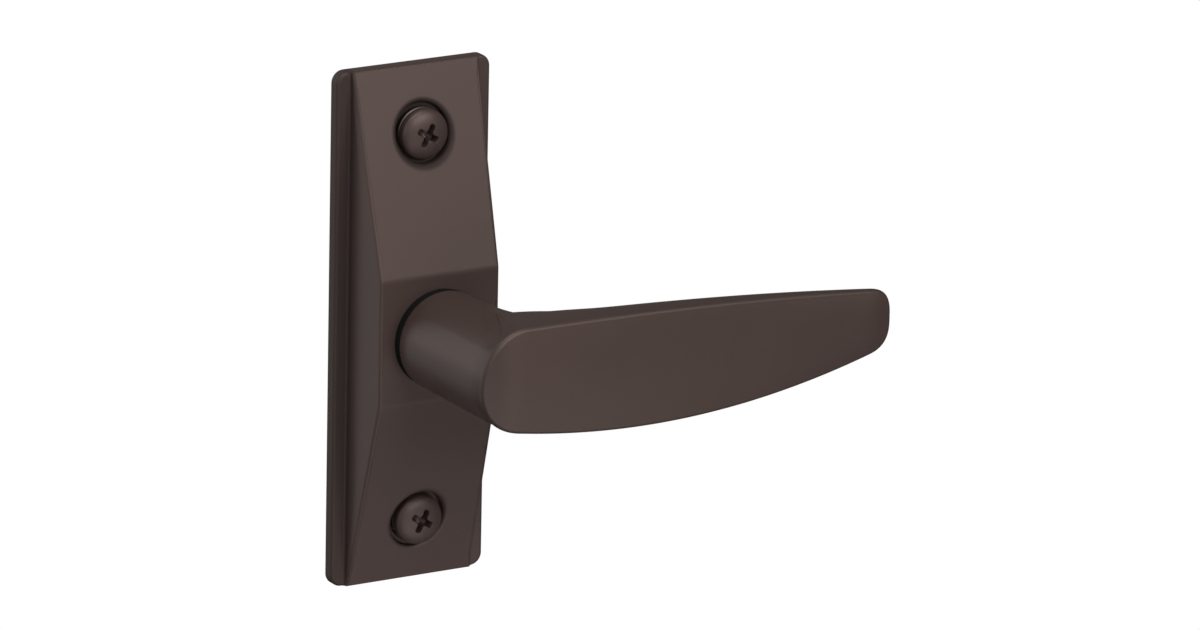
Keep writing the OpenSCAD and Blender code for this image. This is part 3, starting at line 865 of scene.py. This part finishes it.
class FinishColours(bpy.types.PropertyGroup):
    bronze: FloatVectorProperty(
        name="Bronze",
        description="Colour of the castings",
        subtype="COLOR",
        default=(0.036, 0.0235, 0.0205),
    )
    rough: FloatProperty(
        name="Roughness",
        description="Roughness of the castings",
        subtype="FACTOR",
        default=0.42,
        min=0,
        max=1,
    )
    grain: length("Grain", "Height of the fine grain in the coat", 0.012)


def material(name):
    """A new node material, with its nodes, links and Principled shader."""
    mat = bpy.data.materials.new(name)
    mat.use_nodes = True
    nodes, links = mat.node_tree.nodes, mat.node_tree.links
    return mat, nodes, links, nodes["Principled BSDF"]


def add_sockets(group, way, kinds):
    """Adds inputs or outputs to a node group; each has a name and is Float, Color or Vector."""
    for name, kind in kinds.items():
        group.interface.new_socket(name, in_out=way, socket_type=f"NodeSocket{kind}")


def maths(tree, operation, first, second, third=0.0):
    """The output of a Math node fed by sockets or numbers."""
    node = tree.nodes.new("ShaderNodeMath")
    node.operation = operation
    for k, value in enumerate((first, second, third)):
        if isinstance(value, float):
            node.inputs[k].default_value = value
        else:
            tree.links.new(value, node.inputs[k])
    return node.outputs[0]


def ramp_mask(tree, value, low, high):
    """Smooth mask: 0 where the value is at low, 1 at high."""
    ramp = tree.nodes.new("ShaderNodeMapRange")
    ramp.interpolation_type = "SMOOTHSTEP"
    tree.links.new(value, ramp.inputs["Value"])
    ramp.inputs["From Min"].default_value, ramp.inputs["From Max"].default_value = low, high
    return ramp.outputs[0]


def surface_group():
    """Fine grain, colour variation and roughness variation, shared by every finish."""
    name = "surface_detail"
    if name in bpy.data.node_groups:
        return bpy.data.node_groups[name]
    g = bpy.data.node_groups.new(name, "ShaderNodeTree")
    numbers = ("Variation", "Roughness", "Rough variation", "Grain scale", "Grain height")
    kinds = {"Colour": "Color", "Patch scale": "Float", **dict.fromkeys(numbers, "Float")}
    add_sockets(g, "INPUT", kinds)
    add_sockets(g, "OUTPUT", {"Colour": "Color", "Roughness": "Float", "Normal": "Vector"})
    n, l = g.nodes, g.links
    gin, out = n.new("NodeGroupInput"), n.new("NodeGroupOutput")
    coord = n.new("ShaderNodeTexCoord")
    fine, patch = n.new("ShaderNodeTexNoise"), n.new("ShaderNodeTexNoise")
    for node, socket, detail in ((fine, "Grain scale", 3), (patch, "Patch scale", 2)):
        l.new(coord.outputs["Object"], node.inputs["Vector"])
        l.new(gin.outputs[socket], node.inputs["Scale"])
        node.inputs["Detail"].default_value = detail
    half = maths(g, "MULTIPLY", patch.outputs["Fac"], 0.5)
    both = maths(g, "MULTIPLY_ADD", fine.outputs["Fac"], 0.5, half)
    centred = maths(g, "SUBTRACT", both, 0.5)
    mix = n.new("ShaderNodeVectorMath")
    mix.operation = "SCALE"
    l.new(gin.outputs["Colour"], mix.inputs[0])
    factor = maths(g, "MULTIPLY_ADD", centred, gin.outputs["Variation"], 1.0)
    l.new(factor, mix.inputs["Scale"])
    l.new(mix.outputs[0], out.inputs["Colour"])
    swing = gin.outputs["Rough variation"]
    rough = maths(g, "MULTIPLY_ADD", centred, swing, gin.outputs["Roughness"])
    l.new(rough, out.inputs["Roughness"])
    bump = n.new("ShaderNodeBump")
    bump.inputs["Strength"].default_value = 1.0
    l.new(gin.outputs["Grain height"], bump.inputs["Distance"])
    l.new(fine.outputs["Fac"], bump.inputs["Height"])
    l.new(bump.outputs["Normal"], out.inputs["Normal"])
    return g


def finish(name, colour, rough, group, shader):
    """A material whose colour, roughness and normal come from the surface group.

    group and shader hold the values of the group's and the Principled shader's sockets.
    """
    if name in bpy.data.materials:
        return bpy.data.materials[name]
    mat, nodes, links, principled = material(name)
    detail = nodes.new("ShaderNodeGroup")
    detail.node_tree = surface_group()
    values = {"Colour": (*colour, 1), "Roughness": rough, **group}
    for node, settings in ((detail, values), (principled, shader)):
        for key, value in settings.items():
            node.inputs[key].default_value = value
    for key, socket in (("Colour", "Base Color"), ("Roughness", "Roughness"), ("Normal", "Normal")):
        links.new(detail.outputs[key], principled.inputs[socket])
    return mat


def painted_shade_masks(name, *masks):
    """A new group that puts out masks of painted shade: the group, its output sockets and the point's x,
    y, z.
    """
    g = bpy.data.node_groups.new(name, "ShaderNodeTree")
    add_sockets(g, "OUTPUT", dict.fromkeys(masks, "Float"))
    coord, split = g.nodes.new("ShaderNodeTexCoord"), g.nodes.new("ShaderNodeSeparateXYZ")
    g.links.new(coord.outputs["Object"], split.inputs[0])
    return g, g.nodes.new("NodeGroupOutput").inputs, *split.outputs


def plate_patina():
    """Masks of the plate's painted shade, in metres along the part's axes.

    Sides is painted shade at the foot of the left side, and Rims painted shade in rings round
    the counterbores, faint at the lower one. Dull, which only makes the coat rougher, is the
    larger of Rims and half of the left side's lowest part.
    """
    g, out, x, depth, z = painted_shade_masks("plate_patina", "Sides", "Rims", "Dull")
    left = ramp_mask(g, x, -0.0158, -0.0166)
    low = ramp_mask(g, depth, -0.008, -0.003)
    g.links.new(maths(g, "MULTIPLY", left, low), out["Sides"])
    up = maths(g, "SUBTRACT", maths(g, "ABSOLUTE", z, 0.0), float(SCREW_Y * MM))
    squares = maths(g, "MULTIPLY_ADD", x, x, maths(g, "MULTIPLY", up, up))
    ring = ramp_mask(g, maths(g, "SQRT", squares, 0.0), 0.0089, 0.0078)
    upper = ramp_mask(g, z, -0.01, 0.01)
    upper.node.inputs["To Min"].default_value = 0.15
    rims = maths(g, "MULTIPLY", ring, upper)
    g.links.new(rims, out["Rims"])
    foot = maths(g, "MULTIPLY", left, ramp_mask(g, depth, -0.0066, -0.004))
    g.links.new(maths(g, "MAXIMUM", rims, maths(g, "MULTIPLY", foot, 0.5)), out["Dull"])
    return g


def lever_patina():
    """Masks of painted shade on the lever's face and its rim, in metres along the part's axes.

    Heel is painted shade that grows from the neck to the heel, and Tip painted shade towards
    the tip and the top edge.
    """
    g, out, x, depth, z = painted_shade_masks("lever_patina", "Heel", "Tip")
    front = ramp_mask(g, depth, -0.052, -0.056)
    g.links.new(maths(g, "MULTIPLY", ramp_mask(g, x, -0.004, -0.0095), front), out["Heel"])
    along = ramp_mask(g, maths(g, "MULTIPLY_ADD", z, 2.0, x), -0.02, 0.095)
    g.links.new(maths(g, "MULTIPLY", along, front), out["Tip"])
    return g


def painted_shade_bronze(c, name, shade_group, shades, rougher):
    """The castings' coat with painted shade: darker under each mask, and rougher under one of them."""
    if name in bpy.data.materials:
        return bpy.data.materials[name]
    mat = bronze(c, name)
    tree = mat.node_tree
    masks = tree.nodes.new("ShaderNodeGroup")
    masks.node_tree = shade_group()
    coat, shader = tree.nodes["Group"], tree.nodes["Principled BSDF"]
    colour = coat.outputs["Colour"]
    for mask, shade in shades:
        mix = tree.nodes.new("ShaderNodeMix")
        mix.data_type, mix.blend_type = "RGBA", "MULTIPLY"
        tree.links.new(masks.outputs[mask], mix.inputs["Factor"])
        tree.links.new(colour, mix.inputs["A"])
        mix.inputs["B"].default_value = (shade, shade, shade, 1)
        colour = mix.outputs["Result"]
    tree.links.new(colour, shader.inputs["Base Color"])
    mask, more = rougher
    rough = maths(tree, "MULTIPLY_ADD", masks.outputs[mask], more, coat.outputs["Roughness"])
    tree.links.new(rough, shader.inputs["Roughness"])
    return mat


def plate_bronze(c):
    """The coat with the escutcheon's painted shade."""
    shades = (("Sides", 0.5), ("Rims", 0.35))
    return painted_shade_bronze(c, "dark_bronze_plate", plate_patina, shades, ("Dull", 0.3))


def lever_bronze(c):
    """The coat with the lever's painted shade."""
    shades = (("Heel", 0.7), ("Tip", 0.82))
    return painted_shade_bronze(c, "dark_bronze_lever", lever_patina, shades, ("Tip", 0.03))


def finish_values(variation, rough_variation, grain_scale, grain_height, patch_scale=60.0):
    """The surface group's values, with the height of the grain in mm."""
    return {
        "Variation": variation,
        "Rough variation": rough_variation,
        "Grain scale": grain_scale,
        "Grain height": grain_height * MM,
        "Patch scale": patch_scale,
    }


# Tint of the bronze coat's gloss, and the shader's value for bare metals
WARM = (1.0, 0.8, 0.75, 1)
BARE_METAL = {"Metallic": 1.0}


def bronze(c, name="dark_bronze_coat"):
    """Satin dark bronze coat of the castings."""
    gloss = {"Specular IOR Level": 0.35, "Specular Tint": WARM}
    return finish(name, c.bronze, c.rough, finish_values(0.25, 0.12, 1400.0, c.grain), gloss)


def screw_finish(c):
    """The same coat, a little darker, on the mounting screws."""
    gloss = {"Specular IOR Level": 0.4, "Specular Tint": WARM}
    colour = [v * 0.9 for v in c.bronze]
    return finish("dark_bronze_screw", colour, 0.44, finish_values(0.3, 0.1, 900.0, 0.003), gloss)


def washer_finish():
    """Darkened steel of the lock washers."""
    values = finish_values(0.4, 0.2, 1200.0, 0.004)
    return finish("darkened_washer_steel", (0.09, 0.07, 0.063), 0.42, values, BARE_METAL)


def zinc_finish():
    """Zinc plate, with small patches like its crystals."""
    values = finish_values(0.35, 0.25, 700.0, 0.004, 180.0)
    return finish("zinc_plate", (0.56, 0.57, 0.58), 0.34, values, BARE_METAL)


def spring_finish():
    """Blued steel of the springs, the ring and the pin."""
    values = finish_values(0.5, 0.2, 900.0, 0.003)
    return finish("blued_spring_steel", (0.11, 0.11, 0.125), 0.32, values, BARE_METAL)


def acetal_finish():
    """Matte black acetal of the bush."""
    values = finish_values(0.3, 0.1, 1600.0, 0.006)
    return finish("black_acetal", (0.004, 0.004, 0.004), 0.75, values, {"Specular IOR Level": 0.08})


def paint(obj, mat):
    """Makes this the object's only material."""
    obj.data.materials.clear()
    obj.data.materials.append(mat)


class PaintNodes(bpy.types.Operator):
    """Gives every CAD node that stays its procedural finish"""

    bl_idname = "trim.paint"
    bl_label = "Finishes"

    def execute(self, context):
        finishes = {
            "zinc_steel": zinc_finish(),
            "spring_steel": spring_finish(),
            "acetal": acetal_finish(),
            "bronze_finish": bronze(context.scene.trim_finish),
            "screw_finish": screw_finish(context.scene.trim_finish),
            "washer_finish": washer_finish(),
        }
        for part in frame["record"]["subparts"]:
            node = frame["nodes"][part["node"]]
            mat = finishes[part["material_slot"]]
            if not node.material_slots:
                node.data.materials.append(mat)
            for slot in node.material_slots:
                slot.material = mat
        return {"FINISHED"}


# Stage


class StageSettings(bpy.types.PropertyGroup):
    camera_at: FloatVectorProperty(
        name="Camera",
        description="Place of the camera",
        subtype="TRANSLATION",
        unit="LENGTH",
        default=(-1.05900, -1.89810, 0.65561),
    )
    camera_turn: FloatVectorProperty(
        name="Camera turn",
        description="Turn of the camera",
        subtype="EULER",
        default=[math.radians(degrees) for degrees in (73.25369, -1.14182, -30.03884)],
    )
    lens: FloatProperty(name="Lens", description="Focal length in mm", default=286.812)
    floor_z: FloatProperty(name="Floor", description="Height of the floor", unit="LENGTH", default=-0.8)
    ambient: FloatProperty(name="Ambient", description="Strength of the room's light", default=0.3)
    reflected: FloatProperty(
        name="Reflected left", description="How bright the room's left is in reflections", default=0.9
    )
    reflected_right: FloatProperty(
        name="Reflected right", description="How bright the room's right is in reflections", default=0.11
    )


# Name, place, target, width and height of each lamp in metres, and its power in watts
LIGHTS = (
    ("key_softbox", (0.35, -1.75, 1.0), (0.0, -0.02, 0.0), (1.5, 1.2), 36.0),
    ("left_softbox", (-1.15, 0.5, -0.12), (0.0, -0.03, 0.0), (1.8, 1.8), 8.0),
    ("top_softbox", (-0.25, -0.3, 1.4), (0.0, -0.03, 0.0), (1.1, 1.1), 13.0),
    ("low_softbox", (0.02, -0.6, -0.36), (0.0, -0.03, 0.0), (0.7, 0.5), 2.0),
)
# Sideways share of a ray's direction over which the reflected room goes from left to right
LEFT_TO_RIGHT = (-0.5, 0.6)
# Sensor width in mm, how far the camera sees and the floor's half width in metres
SENSOR_WIDTH = 36.0
CLIP_END = 50.0
FLOOR_HALF = 8.0


def white_for_camera(tree, shader_type, ambient, output_socket, soft_white):
    """Mixes a white seen by camera, glossy and transmitted rays with what other rays meet.

    The camera sees full white. Reflections see the two values of soft_white, one on the
    room's left and one on its right. The floor has the same value on both sides.
    """
    nodes, links = tree.nodes, tree.links
    path, mix = nodes.new("ShaderNodeLightPath"), nodes.new("ShaderNodeMixShader")
    either = path.outputs["Is Camera Ray"]
    for ray in ("Is Glossy Ray", "Is Transmission Ray"):
        either = maths(tree, "MAXIMUM", either, path.outputs[ray])
    seen = nodes.new(shader_type)
    seen.inputs["Color"].default_value = (1, 1, 1, 1)
    coord, split = nodes.new("ShaderNodeTexCoord"), nodes.new("ShaderNodeSeparateXYZ")
    links.new(coord.outputs["Generated"], split.inputs[0])
    side = ramp_mask(tree, split.outputs["X"], *LEFT_TO_RIGHT)
    for key, value in zip(("To Min", "To Max"), soft_white):
        side.node.inputs[key].default_value = value
    level = nodes.new("ShaderNodeMix")
    level.data_type = "FLOAT"
    links.new(path.outputs["Is Camera Ray"], level.inputs["Factor"])
    links.new(side, level.inputs["A"])
    level.inputs["B"].default_value = 1.0
    links.new(level.outputs[0], seen.inputs["Strength"])
    links.new(either, mix.inputs["Fac"])
    links.new(ambient, mix.inputs[1])
    links.new(seen.outputs[0], mix.inputs[2])
    links.new(mix.outputs[0], output_socket)


class BuildStage(bpy.types.Operator):
    """Builds the camera, the soft lights, the pale floor and the white background"""

    bl_idname = "trim.stage"
    bl_label = "Stage"

    def execute(self, context):
        scene = context.scene
        s = scene.trim_stage
        cam = bpy.data.cameras.new("camera")
        cam.lens, cam.sensor_width, cam.sensor_fit = s.lens, SENSOR_WIDTH, "HORIZONTAL"
        cam.clip_end = CLIP_END
        eye = link_object("camera", cam)
        eye.location, eye.rotation_euler = s.camera_at, s.camera_turn
        scene.camera = eye
        scene.view_settings.view_transform = "Standard"

        world = bpy.data.worlds.new("white_room")
        scene.world = world
        world.use_nodes = True
        tree = world.node_tree
        ground = tree.nodes["Background"]
        ground.inputs["Color"].default_value = (1, 1, 1, 1)
        ground.inputs["Strength"].default_value = s.ambient
        surface = tree.nodes["World Output"].inputs["Surface"]
        soft_white = (s.reflected, s.reflected_right)
        white_for_camera(tree, "ShaderNodeBackground", ground.outputs[0], surface, soft_white)

        for name, at, aim, size, power in LIGHTS:
            data = bpy.data.lights.new(name, "AREA")
            data.shape, data.size, data.size_y = "RECTANGLE", size[0], size[1]
            data.energy = power
            lamp = link_object(name, data)
            lamp.location = at
            away = Vector(at) - Vector(aim)
            lamp.rotation_euler = away.to_track_quat("Z", "Y").to_euler()

        mesh = bpy.data.meshes.new("floor")
        corners = [
            (x * FLOOR_HALF, y * FLOOR_HALF, s.floor_z)
            for x, y in ((-1, -1), (1, -1), (1, 1), (-1, 1))
        ]
        mesh.from_pydata(corners, [], [(0, 1, 2, 3)])
        floor = link_object("floor", mesh)
        mat, nodes, _, shader = material("pale_floor")
        shader.inputs["Base Color"].default_value = (0.8, 0.8, 0.8, 1)
        shader.inputs["Roughness"].default_value = 0.9
        surface = nodes["Material Output"].inputs["Surface"]
        soft_white = (s.reflected_right, s.reflected_right)
        white_for_camera(mat.node_tree, "ShaderNodeEmission", shader.outputs[0], surface, soft_white)
        paint(floor, mat)
        return {"FINISHED"}


class TrimPanel(bpy.types.Panel):
    """Lists the pieces, their sizes and the stage"""

    bl_idname = "VIEW3D_PT_lever_trim"
    bl_label = "Door lever trim"
    bl_space_type = "VIEW_3D"
    bl_region_type = "UI"
    bl_category = "Lever trim"

    def draw(self, context):
        for operator, name, _ in STEPS:
            box = self.layout.box()
            box.operator(operator.bl_idname)
            sizes = getattr(context.scene, name)
            for prop in sizes.bl_rna.properties:
                if prop.identifier not in ("rna_type", "name"):
                    box.prop(sizes, prop.identifier)


# Operators in their order, each with the name of its settings on the scene and their group
STEPS = (
    (BuildPlate, "trim_plate", PlateSizes),
    (BuildLever, "trim_lever", LeverSizes),
    (BuildFixings, "trim_fixings", FixingSizes),
    (PaintNodes, "trim_finish", FinishColours),
    (BuildStage, "trim_stage", StageSettings),
)


def register():
    for operator, name, group in STEPS:
        bpy.utils.register_class(group)
        setattr(bpy.types.Scene, name, PointerProperty(type=group))
        bpy.utils.register_class(operator)
    bpy.utils.register_class(TrimPanel)


def unregister():
    bpy.utils.unregister_class(TrimPanel)
    for operator, name, group in STEPS[::-1]:
        bpy.utils.unregister_class(operator)
        delattr(bpy.types.Scene, name)
        bpy.utils.unregister_class(group)


def main():
    """Builds everything."""
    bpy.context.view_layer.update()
    register()
    for operator, _, _ in STEPS:
        area, name = operator.bl_idname.split(".")
        getattr(getattr(bpy.ops, area), name)()


if __name__ == "__main__":
    main()
